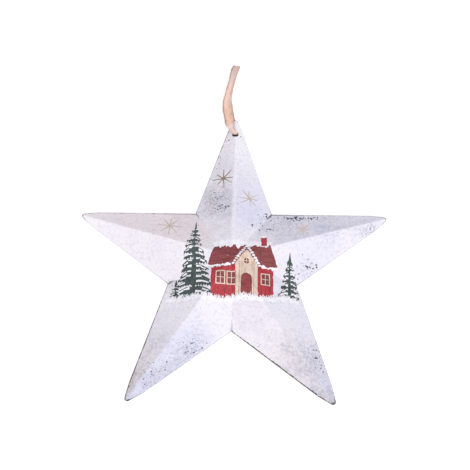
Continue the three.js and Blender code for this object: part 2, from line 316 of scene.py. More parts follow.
def satin():
    """Satin ribbon: fine ribs across it, darker woven edges, a soft shine, painted shade across it and a
    painted highlight near the hole.
    """
    n = Nodes("peach_satin", 0.42, PEACH)
    n.shader.inputs["Sheen Weight"].default_value = 0.35
    n.shader.inputs["Sheen Roughness"].default_value = 0.4
    across = n.attribute("across")
    highlight = n.attribute("highlight")
    rosy = n.attribute("rosy")
    ribs = n.math("SINE", n.times(n.attribute("along"), 2 * pi / RIB_PITCH))
    warp = n.math("SINE", n.times(across, 2 * pi / WARP_PITCH))
    calm = n.level(rosy, -0.6, 1.0)
    plain = n.level(highlight, -0.75, 1.0)
    cloud = n.times(n.patches(170, 4, 0.7, 0.36, 0.66), calm, plain, 0.45)
    uneven = n.level(n.patches(260, 3, 0.6, 0.35, 0.65), 0.6, 0.4)
    shaded = n.times(plain, uneven, calm)
    edge = n.ramp(n.math("ABSOLUTE", across), *(RIBBON_WIDTH / 2 - inside for inside in EDGE_LINE))
    # painted highlight
    n.over(n.times(highlight, 0.9), PEACH_HIGHLIGHT)
    n.over(n.times(rosy, 0.9), PEACH_ROSY)
    n.over(cloud, PEACH_DARK)
    n.over(n.level(ribs, 0.05, 0.05), PEACH_DARK)
    # Painted shade across the ribbon: darker towards its left edge, tan towards its right
    n.over(n.times(n.ramp(across, -0.9, -2.5), shaded, 0.9), PEACH_SHADE)
    n.over(n.times(n.ramp(across, 0.3, 2.6), shaded, 0.7), PEACH_TAN_SHADE)
    n.over(n.times(edge, n.attribute("edge_tone"), shaded), PEACH_EDGE)
    n.bump(n.math("ADD", n.times(ribs, 0.5), n.times(warp, 0.3)), 0.00003, 0.6)
    return n.material


# The camera, fitted to the ten straight edges of the outline and to the hole

LENS = 44.33
SENSOR = 36.0
CLIP = (0.01, 20.0)  # metres
CAMERA_PLACE = Vector((7.85, -108.99 + CENTRE_Y, 362.21)) * MM
CAMERA_HEADING = 2.96  # degrees, like the two below
CAMERA_TILT = 19.75
CAMERA_ROLL = -2.02
CAMERA_TURN = (
    Matrix.Rotation(radians(CAMERA_HEADING), 4, "Z")
    @ Matrix.Rotation(radians(CAMERA_TILT), 4, "X")
    @ Matrix.Rotation(radians(CAMERA_ROLL), 4, "Z")
)


def in_scene(name, data):
    thing = bpy.data.objects.new(name, data)
    scene.collection.objects.link(thing)
    return thing


camera = in_scene("camera", bpy.data.cameras.new("camera"))
camera.data.lens = LENS
camera.data.sensor_width = SENSOR
camera.data.clip_start, camera.data.clip_end = CLIP
camera.matrix_world = Matrix.Translation(CAMERA_PLACE) @ CAMERA_TURN
scene.camera = camera


def new_piece(name, body, vertices, faces, material, smooth_angle):
    """A mesh piece from points in millimetres about the star's centre; it rides on a body."""
    mesh = bpy.data.meshes.new(name)
    mesh.from_pydata([(x * MM, (y + CENTRE_Y) * MM, z * MM) for x, y, z in vertices], [], faces)
    mesh.update()
    piece = in_scene(name, mesh)
    mesh.materials.append(material)
    mesh.shade_smooth()
    mesh.set_sharp_from_angle(angle=radians(smooth_angle))
    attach(piece, body)
    return piece


def store(piece, names, rows):
    """Keeps a row of values for each point of a piece, under these names."""
    for name, values in zip(names, zip(*rows)):
        piece.data.attributes.new(name, "FLOAT", "POINT").data.foreach_set("value", values)


# The ribbon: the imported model's route from the hole's centre, and a turn about its own line in degrees,
# up to 8 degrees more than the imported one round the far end

RIBBON_ROUTE = [
    (0, 0, 3.7, 0), (-0.1, 0.2, 4.9, 0), (-1.0, 1.6, 5.6, 0),
    (-2.9, 3.6, 5.0, 3), (-4.4, 6.8, 4.4, 6), (-5.6, 12.5, 3.7, 10),
    (-6.6, 18.5, 3.3, 18), (-6.7, 24.5, 4.1, 40), (-5.9, 31.0, 5.1, 58),
    (-4.2, 39.5, 5.5, 66), (-1.9, 49.5, 5.1, 64), (-0.3, 55.4, 4.5, 42),
    (-0.2, 56.8, 3.7, -4), (-0.8, 56.2, 2.8, -32), (-2.2, 50.0, 2.7, -48),
    (-4.0, 39.5, 3.0, -60), (-5.1, 31.0, 2.8, -55), (-5.3, 24.0, 1.7, -27),
    (-4.6, 18.0, 0.7, -9), (-3.4, 12.0, 0.2, 0), (-2.3, 8.4, 0.17, 0),
    (-1.1, 4.7, 0.2, 0), (-0.3, 2.3, 0.7, 0), (0, 0.8, 2.2, 0),
]
ROUTE_COUNT = len(RIBBON_ROUTE)
NARROW_TO = 4.0  # at the neck's width this near to the hole's centre line
WIDE_FROM = 10.0
THICK_TO = 1.5  # at the neck's thickness this near to it
THIN_FROM = 6.5
PLEATS = 3  # across the ribbon where the hole gathers it
# A painted highlight where the ribbon bends into the hole, and a fainter painted sheen band further along
# it
HIGHLIGHT_TO = 6.5  # pale this near to the hole
TONED_FROM = 11.0
SHINE = 0.35
SHINE_STRETCH = (18.0, 28.0, 38.0, 48.0)  # along y from the hole: begins, full, fades, over
ROSY_FROM = 34.0
ROSY_TO = 52.0
OVERLAP_FADE = 0.8  # the right edge's dark line fades where the ribbon lies over the tin
OVERLAP_STRETCH = (4.0, 5.0, 7.5, 8.5)  # in points of the route, like the two below
ASIDE_STRETCH = (2.5, 5.0, 5.2, 7.2)
PINCH_STRETCH = (10.0, 11.2, 12.8, 14.0)
SELVEDGE = (0.5, 0.2)  # the thicker woven edge begins and is full this far inside
SELVEDGE_EXTRA = 0.2
PINCH_WAVE = 0.3  # height of the pleats at the loop's far end
PINCH_LEFT = 0.32  # share by which each half of the ribbon is drawn in there
PINCH_RIGHT = 0.10
ASIDE = 0.9  # the upper strand's middle lies this far right of the route just past the star's point
TABLE_CLEARANCE = 0.03
RINGS_PER_POINT = 14
ACROSS_STEPS = 30


def ring_sides(ring):
    return zip(ring, ring[1:] + ring[:1])


def smoothstep(low, high, value):
    share = min(1.0, max(0.0, (value - low) / (high - low)))
    return share * share * (3 - 2 * share)


def hump(value, up_from, up_to, down_from, down_to):
    """Rises from 0 to 1 and falls back to 0."""
    return smoothstep(up_from, up_to, value) * (1 - smoothstep(down_from, down_to, value))


def route_spline(place):
    """A centripetal Catmull-Rom curve through the closed route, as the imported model's is."""
    index = int(place)
    points = [Vector(RIBBON_ROUTE[(index + step) % ROUTE_COUNT][:3]) for step in (-1, 0, 1, 2)]
    knots = [0.0]
    for before, after in zip(points, points[1:]):
        knots.append(knots[-1] + max(1e-6, (after - before).length ** 0.5))
    t = knots[1] + (place - index) * (knots[2] - knots[1])

    def between(a, b, low, high):
        return a * ((high - t) / (high - low)) + b * ((t - low) / (high - low))

    level = [between(points[i], points[i + 1], knots[i], knots[i + 1]) for i in range(3)]
    level = [between(level[i], level[i + 1], knots[i], knots[i + 2]) for i in range(2)]
    return between(level[0], level[1], knots[1], knots[2])


def route_turn(place):
    index = int(place)
    before, after = (RIBBON_ROUTE[k % ROUTE_COUNT][3] for k in (index, index + 1))
    return radians(before + (after - before) * smoothstep(0, 1, place - index))


def gathering(centre, near, far):
    return 1 - smoothstep(near, far, hypot(centre.x, centre.y))


def ribbon_section(centre, pinched):
    """Points round the section: pleated in the hole, a little drawn in at the far end, else flat."""
    width = RIBBON_WIDTH + (NECK_WIDTH - RIBBON_WIDTH) * gathering(centre, NARROW_TO, WIDE_FROM)
    pleat = (NECK_THICKNESS - RIBBON_THICKNESS) / 2 * gathering(centre, THICK_TO, THIN_FROM) ** 2
    pleat += PINCH_WAVE * pinched
    upper, lower = [], []
    for step in range(ACROSS_STEPS + 1):
        share = step / ACROSS_STEPS - 0.5
        across = share * RIBBON_WIDTH
        drawn = 1 - pinched * (PINCH_LEFT if share < 0 else PINCH_RIGHT)
        wave = pleat * cos(share * PLEATS * 2 * pi)
        selvedge = smoothstep(*(RIBBON_WIDTH / 2 - inside for inside in SELVEDGE), abs(across))
        half = RIBBON_THICKNESS / 2 * (1 + SELVEDGE_EXTRA * selvedge)
        upper.append((share * width * drawn, wave + half, across))
        lower.append((share * width * drawn, wave - half, across))
    return upper + lower[::-1]


def make_ribbon():
    rings = ROUTE_COUNT * RINGS_PER_POINT
    centres = [route_spline(k / RINGS_PER_POINT) for k in range(rings)]
    vertices, faces, line, rows = [], [], [], []
    travelled = 0.0
    for k, centre in enumerate(centres):
        place = k / RINGS_PER_POINT
        behind = centres[k - 1]
        along = (centres[(k + 1) % rings] - behind).normalized()
        level = (Vector((1, 0, 0)) - along * along.x).normalized()
        width = Matrix.Rotation(route_turn(place), 3, along) @ level
        normal = along.cross(width)
        if k:
            travelled += (centre - behind).length
        aside = ASIDE * hump(place, *ASIDE_STRETCH)
        section = ribbon_section(centre, hump(place, *PINCH_STRETCH))
        corners = [centre + width * (a + aside) + normal * b for a, b, _ in section]
        lift = max(0.0, TABLE_CLEARANCE - min(corner.z for corner in corners))
        # painted highlight near the hole, and a fainter painted sheen band further up
        highlight = max(gathering(centre, HIGHLIGHT_TO, TONED_FROM), SHINE * hump(centre.y, *SHINE_STRETCH))
        rosy = smoothstep(ROSY_FROM, ROSY_TO, centre.y)
        right_edge = 1 - OVERLAP_FADE * hump(place, *OVERLAP_STRETCH)
        for corner, (_, _, across) in zip(corners, section):
            vertices.append((corner.x, corner.y + HOLE_Y, corner.z + lift))
            rows.append((across, travelled, highlight, rosy, right_edge if across > 0 else 1.0))
        line.append(Vector((centre.x, centre.y + HOLE_Y + CENTRE_Y, centre.z + lift)) * MM)
    ring = list(range(2 * (ACROSS_STEPS + 1)))
    for k in range(rings):
        here, there = k * len(ring), ((k + 1) % rings) * len(ring)
        faces.extend((here + i, here + j, there + j, there + i) for i, j in ring_sides(ring))
    piece = new_piece("ribbon", "ribbon", vertices, faces, satin(), smooth_angle=50)
    store(piece, ("across", "along", "highlight", "rosy", "edge_tone"), rows)
    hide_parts("ribbon_loop")


make_ribbon()


# The star's front as a height over the table

def arm_place(x, y):
    """The nearest arm's number, and the point's place in its own axes: across its ridge, along it."""
    turn = 2 * VALLEY_ANGLE
    arm = round(atan2(-x, y) / turn)
    angle = arm * turn
    across = x * cos(angle) + y * sin(angle)
    along = -x * sin(angle) + y * cos(angle)
    return arm % ARM_COUNT, across, along


def valley_place(across, along):
    """How far a point in an arm's own axes is from the star's centre, and from the nearest valley."""
    reach = hypot(across, along)
    return reach, abs(abs(atan2(across, along)) - VALLEY_ANGLE) * reach


def height(x, y):
    """The sheet's outer face: two slopes from each ridge, with the fold's round top."""
    _, across, along = arm_place(x, y)
    side = abs(across)
    if side < ROUND_HALF:
        drop = RIDGE_ROUND / cos(RIDGE_SLOPE) - sqrt(RIDGE_ROUND**2 - side**2)
    else:
        drop = side * tan(RIDGE_SLOPE)
    return PEAK_HEIGHT - FALL_ALONG * along - drop * RIDGE_STRETCH


def turned(points, arm):
    """Points from an arm's own axes to the star's."""
    angle = arm * 2 * VALLEY_ANGLE
    cosine, sine = cos(angle), sin(angle)
    return [(x * cosine - y * sine, x * sine + y * cosine) for x, y in points]


def fold_lines():
    """Line segments along every ridge and valley, so that no triangle of paint bridges a fold."""
    valley = (-CORNER_RADIUS * sin(VALLEY_ANGLE), CORNER_RADIUS * cos(VALLEY_ANGLE))
    segments = []
    for arm in range(ARM_COUNT):
        for share in (-1, -0.5, 0, 0.5, 1):
            side = share * ROUND_HALF
            start = abs(side) / tan(VALLEY_ANGLE)
            segments.append(turned([(side, start), (side, SHARP_RADIUS)], arm))
        segments.append(turned([(0, 0), valley], arm))
    return segments


def around(x, y, across, up, angle):
    """A point on an oval about x, y."""
    return (x + across * cos(angle), y + up * sin(angle))


FOLD_LINES = fold_lines()
HOLE_STEPS = 32
HOLE_NEAR = 0.5  # points this near to a hole's edge belong to it
SAME_PLACE = 5  # decimals to which two points at one place agree
SPACING = 2.0  # of the points inside a layer


def paint_layer(name, outlines, low, high, material, skirt=None, holes=()):
    """A thin closed layer that follows the star's front inside one or more outlines.

    low and high are its two faces' heights above the sheet. A skirt gives the height to which its outer
    edge is carried down over the rim. holes are circles (x, y, radius) left open.
    """
    points, edges, rings = [], [], []
    for outline in outlines:
        first = len(points)
        points.extend(anticlockwise(outline))
        rings.append(list(range(first, len(points))))
    for x, y, radius in holes:
        first = len(points)
        points.extend(around(x, y, radius, radius, k * 2 * pi / HOLE_STEPS) for k in range(HOLE_STEPS))
        edges.extend(ring_sides(list(range(first, len(points)))))
    xs, ys = zip(*(point for outline in outlines for point in outline))
    left, right, bottom, top = min(xs), max(xs), min(ys), max(ys)
    for start, end in FOLD_LINES:
        part = clipped(start, end, left - 1, right + 1, bottom - 1, top + 1)
        if part:
            edges.append((len(points), len(points) + 1))
            points.extend(part)
    for i in range(1, int((right - left) / SPACING) + 1):
        for j in range(1, int((top - bottom) / SPACING) + 1):
            points.append((left + i * SPACING, bottom + j * SPACING))
    flat = [Vector(point) for point in points]
    tolerance = 10**-SAME_PLACE
    found, _, faces, _, _, source = geometry.delaunay_2d_cdt(flat, edges, rings, 0, tolerance, True)
    kept = []
    for face, origin in zip(faces, source):
        middle = sum((found[i] for i in face), Vector((0, 0))) / len(face)
        open_here = any(hypot(middle.x - x, middle.y - y) < r for x, y, r in holes)
        if origin and not open_here:
            kept.append(face)
    return layer_piece(name, found, joined(found, kept), low, high, material, skirt, holes)


def joined(points, faces):
    """Faces in which points at one place count as one, without those that this closes."""
    first = {}
    places = [(round(point.x, SAME_PLACE), round(point.y, SAME_PLACE)) for point in points]
    same = [first.setdefault(place, i) for i, place in enumerate(places)]
    faces = [[same[i] for i in face] for face in faces]
    return [face for face in faces if len(set(face)) == len(face)]


def anticlockwise(outline):
    area = sum(x0 * y1 - x1 * y0 for (x0, y0), (x1, y1) in ring_sides(outline))
    return outline if area > 0 else outline[::-1]


NO_LENGTH = 1e-9
LEAST_PART = 1e-4  # of a segment


def clipped(start, end, left, right, bottom, top):
    """The part of a segment inside a box, or None."""
    low, high = 0.0, 1.0
    (x0, y0), (x1, y1) = start, end
    dx, dy = x1 - x0, y1 - y0
    sides = ((-dx, x0 - left), (dx, right - x0), (-dy, y0 - bottom), (dy, top - y0))
    for step, room in sides:
        if abs(step) < NO_LENGTH:
            if room < 0:
                return None
        elif step < 0:
            low = max(low, room / step)
        else:
            high = min(high, room / step)
    if high - low < LEAST_PART:
        return None
    return [(x0 + dx * t, y0 + dy * t) for t in (low, high)]


def layer_piece(name, found, faces, low, high, material, skirt, holes):
    """Lifts flat triangles onto the star's front and closes them into a thin shell."""
    used = sorted({i for face in faces for i in face})
    number = {old: new for new, old in enumerate(used)}
    flat = [found[i] for i in used]
    top, under = ([(p.x, p.y, height(p.x, p.y) + lift) for p in flat] for lift in (high, low))
    size = len(flat)
    triangles = [[number[i] for i in face] for face in faces]
    shell = triangles + [[i + size for i in reversed(triangle)] for triangle in triangles]
    sides = dict.fromkeys(side for triangle in triangles for side in ring_sides(triangle))
    border = [side for side in sides if side[::-1] not in sides]
    vertices = top + under
    down = {}
    thickness = high - low
    for i in {a for a, _ in border} if skirt else ():
        x, y, _ = top[i]
        in_hole = any(hypot(x - hx, y - hy) < r + HOLE_NEAR for hx, hy, r in holes)
        if in_hole or is_slit(x, y):
            continue
        pull = 1 - thickness / hypot(x, y)
        down[i] = len(vertices)
        foot = skirt(x, y)
        vertices += [(x, y, foot), (x * pull, y * pull, foot)]
        under_x, under_y, under_z = under[i]
        vertices[i + size] = (under_x * pull, under_y * pull, under_z)

    def wall(i):
        """A border point's way from the upper face to the lower one."""
        return [i, down[i], down[i] + 1, i + size] if i in down else [i, i + size]

    for a, b in border:
        near, far = wall(a), wall(b)
        if len(near) == len(far):
            shell.extend(zip(far, near, near[1:], far[1:]))
        else:
            shell.append([b, a, a + size, b + size])
            shell.append(near if a in down else far[::-1])
    return new_piece(name, "star", vertices, shell, material, smooth_angle=14)


def is_slit(x, y):
    """True on the two lips of an open seam end, short of the rim's corner."""
    _, across, along = arm_place(x, y)
    reach, from_valley = valley_place(across, along)
    return from_valley < SLIT_NEAR and reach < CORNER_RADIUS - SLIT_SHORT


# The coat of paint over the front and the rims, open at each seam's end and at the hole

COAT_LOW = 0.02  # heights of its two faces above the sheet
COAT_HIGH = 0.07
COAT_OUTSIDE = 0.06
OVERHANG = HEM_PROUD + COAT_OUTSIDE
SKIRT_FOOT = 0.12
SLIT_HALF_WIDTH = 0.15
SLIT_NEAR = 0.4  # points this near to a valley are on the lips of its slit
SLIT_SHORT = 0.3
HOLE_CLEAR = 0.05
HEM_END_HALF = 0.1
POINT_STEPS = 10
SEAM_END = CORNER_RADIUS - OPEN_SEAM


def coat_outline():
    """Each arm's right side, its rounded point and its left side, with a slit at each seam's open end."""
    slope = tan(POINT_ANGLE)
    apex = SHARP_RADIUS + OVERHANG / sin(POINT_ANGLE)
    sine, cosine = sin(VALLEY_ANGLE), cos(VALLEY_ANGLE)
    corner_y = (apex * slope * cosine + SLIT_HALF_WIDTH) / (sine + slope * cosine)
    heights = (corner_y, HEM_END - HEM_END_HALF, HEM_END + HEM_END_HALF)
    lean = (POINT_ANGLE + TANGENT_ANGLE) / 2
    right = [((apex - y) * slope, y) for y in heights]
    right.append(around(TAPER_X, TAPER_Y, OVERHANG, OVERHANG, lean))
    radius = POINT_ROUND + OVERHANG
    point = []
    for k in range(POINT_STEPS + 1):
        angle = TANGENT_ANGLE + (pi - 2 * TANGENT_ANGLE) * k / POINT_STEPS
        point.append(around(0, ROUND_Y, radius, radius, angle))
    left = [(-x, y) for x, y in reversed(right)]
    slit = (SEAM_END * sine, SEAM_END * cosine)
    outline = []
    for arm in range(ARM_COUNT):
        outline.extend(turned([slit] + right + point + left, arm))
    return outline


def coat_foot(x, y):
    """The coat reaches down over the hem, and past the hem's end only over the sheet's own edge."""
    _, _, along = arm_place(x, y)
    return SKIRT_FOOT if along < HEM_END else height(x, y) - SHEET


coat = paint_layer(
    "paint_coat",
    [coat_outline()],
    COAT_LOW,
    COAT_HIGH,
    chalk_coat(),
    skirt=coat_foot,
    holes=[(0.0, HOLE_Y, HOLE_DIAMETER / 2 + HOLE_CLEAR)],
)

# How strongly each rim is rubbed, at its root and its point: the arm's +x side, then its -x side
RIM_WEAR = {
    0: ((0.0, 0.0), (0.35, 1.1)),  # top arm: right, left
    1: ((1.2, 0.8), (0.0, 0.0)),  # left arm: upper, lower
    2: ((1.1, 1.9), (0.0, 0.0)),  # lower left arm: outer, inner
    3: ((1.35, 1.5), (0.2, 0.3)),  # lower right arm: inner, outer
    4: ((0.0, 0.0), (0.7, 0.8)),  # right arm: lower, upper
}
TIP_WEAR = (0.3, 0.9, 1.4, 1.2, 0.6)
# Painted shade on the lips of each open seam's slit, a strength for each arm
SEAM_SHADE = (0.95, 0.6, 1.0, 0.25, 0.7)  # how dark the lips on each arm's +x side are
TIP_LENGTH = 6.0
SEAM_LIPS = (0.2, 0.8)  # the seam's tone fades between these distances from the valley
LEAST_SPATTER = 0.12
FACET_FULL = 30.0  # a facet's cast has its full strength this far from the centre

# Soft clouds of fine spatter: place from the star's centre, reach and density
SPATTER = [
    (-12, 44, 24, 0.8), (-10, 36, 14, 0.4), (36, 28, 20, 0.8), (20, 24, 13, 0.6), (62, 27, 16, 0.5),
    (48, -3, 13, 0.6), (-21, -54, 17, 0.8), (-36, -66, 20, 0.6), (-52, -74, 16, 0.8),
    (51, -58, 17, 0.9), (58, -76, 14, 0.7), (34, -56, 16, 0.5), (-60, 8, 18, 0.25),
    (82, 24, 16, 0.5), (64, 17, 14, 0.4), (90, 26, 11, 0.9), (-40, -16, 8, 0.8),
]

# Faint casts of the paint: place, reach, towards pink (or blue where negative), and greyness
CASTS = [
    (12, 32, 14, -0.2, 0.20), (-14, 44, 12, 0.0, 0.25), (-26, -50, 24, -0.3, 0.20),
    (-63, -90, 9, -0.5, 0.50), (36, -60, 20, 0.2, 0.15), (61, -86, 12, 0.2, 0.40),
]

# Each facet's own cast, at its root and its point: the arm's +x side, then its -x side. Its pink is the
# paint's own tint; its greyness is painted shade where positive and painted light where negative, for how
# light falls on each facet
FACET_TINT_AND_SHADE = {
    0: (((-0.4, -0.15), (-0.2, -0.80)), ((0.1, 0.45), (0.2, 0.12))),
    1: (((0.7, 0.28), (0.5, 0.12)), ((0.30, 0.12), (0.45, -0.40))),
    2: (((0.0, 0.10), (0.5, 1.05)), ((-0.2, 0.00), (-0.6, 0.55))),
    3: (((0.3, 0.15), (0.3, 0.85)), ((-0.1, 0.00), (-0.4, 0.40))),
    4: (((0.0, 0.00), (-0.3, -0.15)), ((-0.3, 0.28), (-0.4, 0.26))),
}


def rim_distance(across, along):
    """How far a point in an arm's own axes lies inside the arm's outline."""
    side = abs(across)
    if atan2(along - ROUND_Y, side) > TANGENT_ANGLE:
        return POINT_ROUND - hypot(side, along - ROUND_Y)
    straight = (SHARP_RADIUS - along) * sin(POINT_ANGLE) - side * cos(POINT_ANGLE)
    taper = POINT_ROUND - side * cos(TANGENT_ANGLE) - (along - ROUND_Y) * sin(TANGENT_ANGLE)
    return min(straight, taper)


def blobs(x, y, entries):
    """Adds up soft round patches, each given as place, reach and one or more strengths."""
    total = [0.0] * (len(entries[0]) - 3)
    for cx, cy, reach, *strengths in entries:
        share = 1 - smoothstep(0, reach, hypot(x - cx, y - cy))
        total = [value + share * strength for value, strength in zip(total, strengths)]
    return total


COAT_VALUES = ("rim_distance", "rim_wear", "spatter", "seam", "seam_shade_tone", "pink", "grey")


def coat_values(x, y):
    """What the coat's material reads at a point, in the order of COAT_VALUES."""
    arm, across, along = arm_place(x, y)
    half = 0 if across > 0 else 1
    to_point = smoothstep(CORNER_RADIUS, TAPER_Y, along)
    root_wear, point_wear = RIM_WEAR[arm][half]
    wear = root_wear + (point_wear - root_wear) * to_point
    tip = smoothstep(ROUND_Y - TIP_LENGTH, ROUND_Y + 1, along)
    reach, from_valley = valley_place(across, along)
    lips = 1 - smoothstep(*SEAM_LIPS, from_valley)
    from_middle = smoothstep(0, FACET_FULL, along)
    # pink and grey: the paint's own tints and grime, with each facet's painted shade or painted light added
    facet = zip(blobs(x, y, CASTS), *FACET_TINT_AND_SHADE[arm][half])
    return (
        rim_distance(across, along),
        wear + (TIP_WEAR[arm] - wear) * tip,
        min(1.0, LEAST_SPATTER + blobs(x, y, SPATTER)[0]),
        lips * smoothstep(SEAM_END - 1, SEAM_END + 1, reach),
        SEAM_SHADE[(arm + half) % ARM_COUNT],
        *(patch + from_middle * (root + (point - root) * to_point) for patch, root, point in facet),
    )


places = [(vertex.co.x / MM, vertex.co.y / MM - CENTRE_Y) for vertex in coat.data.vertices]
store(coat, COAT_VALUES, [coat_values(x, y) for x, y in places])

tin_material = bare_tin()
for name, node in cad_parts.items():
    if name != "ribbon_loop":
        node.data.materials.clear()
        node.data.materials.append(tin_material)


# The painted scene: a snow-roofed cottage between firs, standing in stippled snow

GROUND_LINE = -23.0
LAYER_STEP = 0.03
LAYER_GAP = 0.01
LAYER = 0.03
BROAD_WAVER = (0.55, 7.3)  # waves per millimetre along a brushed edge, and from seed to seed
FINE_WAVER = (1.9, 3.1)
FINE_SHARE = 0.5
UNEVEN = (0.75, 1.2)


def push(x, y, seed, waves, apart):
    return noise.noise_vector(Vector((x * waves, y * waves, seed * apart)))


def wobbly(points, amount, seed, step=0.8):
    """A closed outline with its sides cut into short steps and moved about like a brushed edge."""
    result = []
    for (x0, y0), (x1, y1) in ring_sides(points):
        pieces = max(1, round(hypot(x1 - x0, y1 - y0) / step))
        for k in range(pieces):
            x = x0 + (x1 - x0) * k / pieces
            y = y0 + (y1 - y0) * k / pieces
            broad = push(x, y, seed, *BROAD_WAVER)
            fine = push(x, y, seed, *FINE_WAVER)
            x += amount * (broad.x + FINE_SHARE * fine.x)
            y += amount * (broad.y + FINE_SHARE * fine.y)
            result.append((x, y))
    return result


def rectangle(left, bottom, right, top, grown=0.0):
    left, bottom, right, top = left - grown, bottom - grown, right + grown, top + grown
    return [(left, bottom), (right, bottom), (right, top), (left, top)]


def stroke(start, end, width, taper):
    """A brush stroke from one point to another, narrower at its end."""
    (x0, y0), (x1, y1) = start, end
    length = hypot(x1 - x0, y1 - y0)
    nx, ny = -(y1 - y0) / length * width / 2, (x1 - x0) / length * width / 2
    return [
        (x0 - nx, y0 - ny),
        (x1 - nx * taper, y1 - ny * taper),
        (x1 + nx * taper, y1 + ny * taper),
        (x0 + nx, y0 + ny),
    ]


def brushed(start, end, width, taper, waver, seed, step=0.8):
    return wobbly(stroke(start, end, width, taper), waver, seed, step)


def dab(x, y, width, tall, rng, steps=8):
    """A rounded, slightly uneven touch of the brush."""
    outline = []
    for k in range(steps):
        angle = k * 2 * pi / steps
        across = width / 2 * cos(angle) * rng.uniform(*UNEVEN)
        outline.append((x + across, y + tall / 2 * sin(angle) * rng.uniform(*UNEVEN)))
    return outline


def oval(x, y, across, up, steps):
    """Points on an oval, given in steps of 30 degrees from its right end."""
    return [around(x, y, across, up, k * pi / 6) for k in steps]


def painted(name, outlines, material, order, thickness=LAYER):
    """Lays paint on the coat; a higher order lies over a lower one."""
    low = COAT_HIGH + LAYER_GAP + order * LAYER_STEP
    paint_layer(name, outlines, low, low + thickness, material)


red = brushed_paint("barn_red_paint", BARN_RED, BARN_RED_DARK, 0.7)
maroon = brushed_paint("maroon_paint", MAROON, MAROON_DARK, 0.7, UPRIGHT_STREAKS)
dark_maroon = brushed_paint("dark_maroon_paint", MAROON_DARK, MAROON, 0.6, UPRIGHT_STREAKS)
cream = brushed_paint("cream_paint", CREAM, CREAM_DARK)
green = brushed_paint("fir_paint", FIR_GREEN, FIR_GREEN_DARK)
snow = brushed_paint("snow_paint", SNOW, CHALK_COOL, 0.5)
bough_snow = brushed_paint("bough_snow_paint", SNOW, FIR_GREY, 0.5)
gold = brushed_paint("gold_paint", GOLD, GOLD_DARK)
faint_gold = brushed_paint("faint_gold_paint", GOLD_FAINT, GOLD, 0.35)
ghost_gold = brushed_paint("ghost_gold_paint", GOLD_GHOST, GOLD_FAINT, 0.6)
fleck_paint = brushed_paint("slate_fleck_paint", FLECK, FLECK_DARK)

COTTAGE_LEFT = -13.0
COTTAGE_RIGHT = 26.0
COTTAGE_FOOT = GROUND_LINE - 2.5  # hidden in the snow
EAVES = -5.0
ROOF_TOP = 11.0
ROOF_OVERHANG = 3.0
ROOF_SLANT = 6.0
SHINGLE_ROWS = 5
CHIMNEY_LEFT = 18.2
CHIMNEY_RIGHT = 21.8
CHIMNEY_TOP = ROOF_TOP + 4.6
GABLE_LEFT = 2.0
GABLE_RIGHT = 16.0
GABLE_MIDDLE = (GABLE_LEFT + GABLE_RIGHT) / 2
GABLE_PEAK = EAVES + 11.0
DOOR_LEFT = 5.6
DOOR_RIGHT = 12.4
DOOR_SPRING = -12.5  # where its arch begins
DOOR_ARCH = 2.6
LOFT_HEIGHT = -2.0
LOFT_RADIUS = 1.7
WINDOWS = (-9.4, -2.6, 18.6)
WINDOW_WIDTH = 4.6
WINDOW_FOOT = -16.0
WINDOW_TALL = 6.6
WINDOW_FRAME = 0.7


def paint_walls():
    walls = rectangle(COTTAGE_LEFT, COTTAGE_FOOT, COTTAGE_RIGHT, EAVES + 1)
    painted("cottage_walls", [wobbly(walls, 0.4, 1)], red, 0)
    gable = rectangle(GABLE_LEFT, COTTAGE_FOOT, GABLE_RIGHT, EAVES + 1.5)
    gable.insert(3, (GABLE_MIDDLE, GABLE_PEAK))
    painted("cottage_gable", [wobbly(gable, 0.35, 12)], cream, 2)
    boards = []
    rng = Random(3)
    x = COTTAGE_LEFT + 2.0
    while x < COTTAGE_RIGHT - 1:
        if not GABLE_LEFT - 0.8 < x < GABLE_RIGHT + 0.8:
            foot = GROUND_LINE + rng.uniform(-2, 1)
            head = (x + rng.uniform(-0.3, 0.3), EAVES)
            boards.append(brushed((x, foot), head, 0.4, 0.9, 0.15, x))
        x += rng.uniform(2.0, 2.9)
    painted("cottage_boards", boards, maroon, 1)
    joints = (GABLE_LEFT + 2.4, GABLE_LEFT + 11.6)
    lines = [brushed((x, GROUND_LINE - 1), (x + 0.2, EAVES + 2), 0.28, 0.8, 0.12, x) for x in joints]
    painted("gable_boards", lines, gold, 3)


def paint_cross(opening, width):
    """The two bars of a window across its opening."""
    (left, bottom), _, (right, top), _ = opening
    x, y = (left + right) / 2, (bottom + top) / 2
    return [stroke((x, bottom), (x, top), width, 0.9), stroke((left, y), (right, y), width, 0.9)]


def paint_openings():
    frames, panes, bars = [], [], []
    for left in WINDOWS:
        opening = (left, WINDOW_FOOT, left + WINDOW_WIDTH, WINDOW_FOOT + WINDOW_TALL)
        frames.append(wobbly(rectangle(*opening, WINDOW_FRAME), 0.2, left))
        panes.append(wobbly(rectangle(*opening), 0.15, left + 1))
        bars += paint_cross(rectangle(*opening, 0.2), 0.45)
    painted("window_frames", frames, cream, 2)
    painted("window_panes", panes, maroon, 3)
    painted("window_bars", bars, cream, 4)
    wide = DOOR_RIGHT - DOOR_LEFT
    arch = oval(GABLE_MIDDLE, DOOR_SPRING, wide / 2, DOOR_ARCH, range(1, 6))
    door = rectangle(DOOR_LEFT, COTTAGE_FOOT, DOOR_RIGHT, DOOR_SPRING)
    painted("cottage_door", [wobbly(door[:3] + arch + door[3:], 0.2, 4)], maroon, 3)
    planks = []
    for k in (1, 2, 3):
        x = DOOR_LEFT + wide * k / 4
        planks.append(brushed((x, GROUND_LINE - 1), (x, DOOR_SPRING + 1), 0.25, 0.8, 0.1, k))
    painted("door_planks", planks, red, 4)
    loft = (GABLE_MIDDLE, LOFT_HEIGHT)
    pane = oval(*loft, LOFT_RADIUS, LOFT_RADIUS, range(12))
    painted("loft_window", [wobbly(pane, 0.12, 6)], maroon, 3)
    cross = paint_cross(rectangle(*loft, *loft, LOFT_RADIUS + 0.1), 0.4)
    painted("loft_bars", cross, cream, 4)


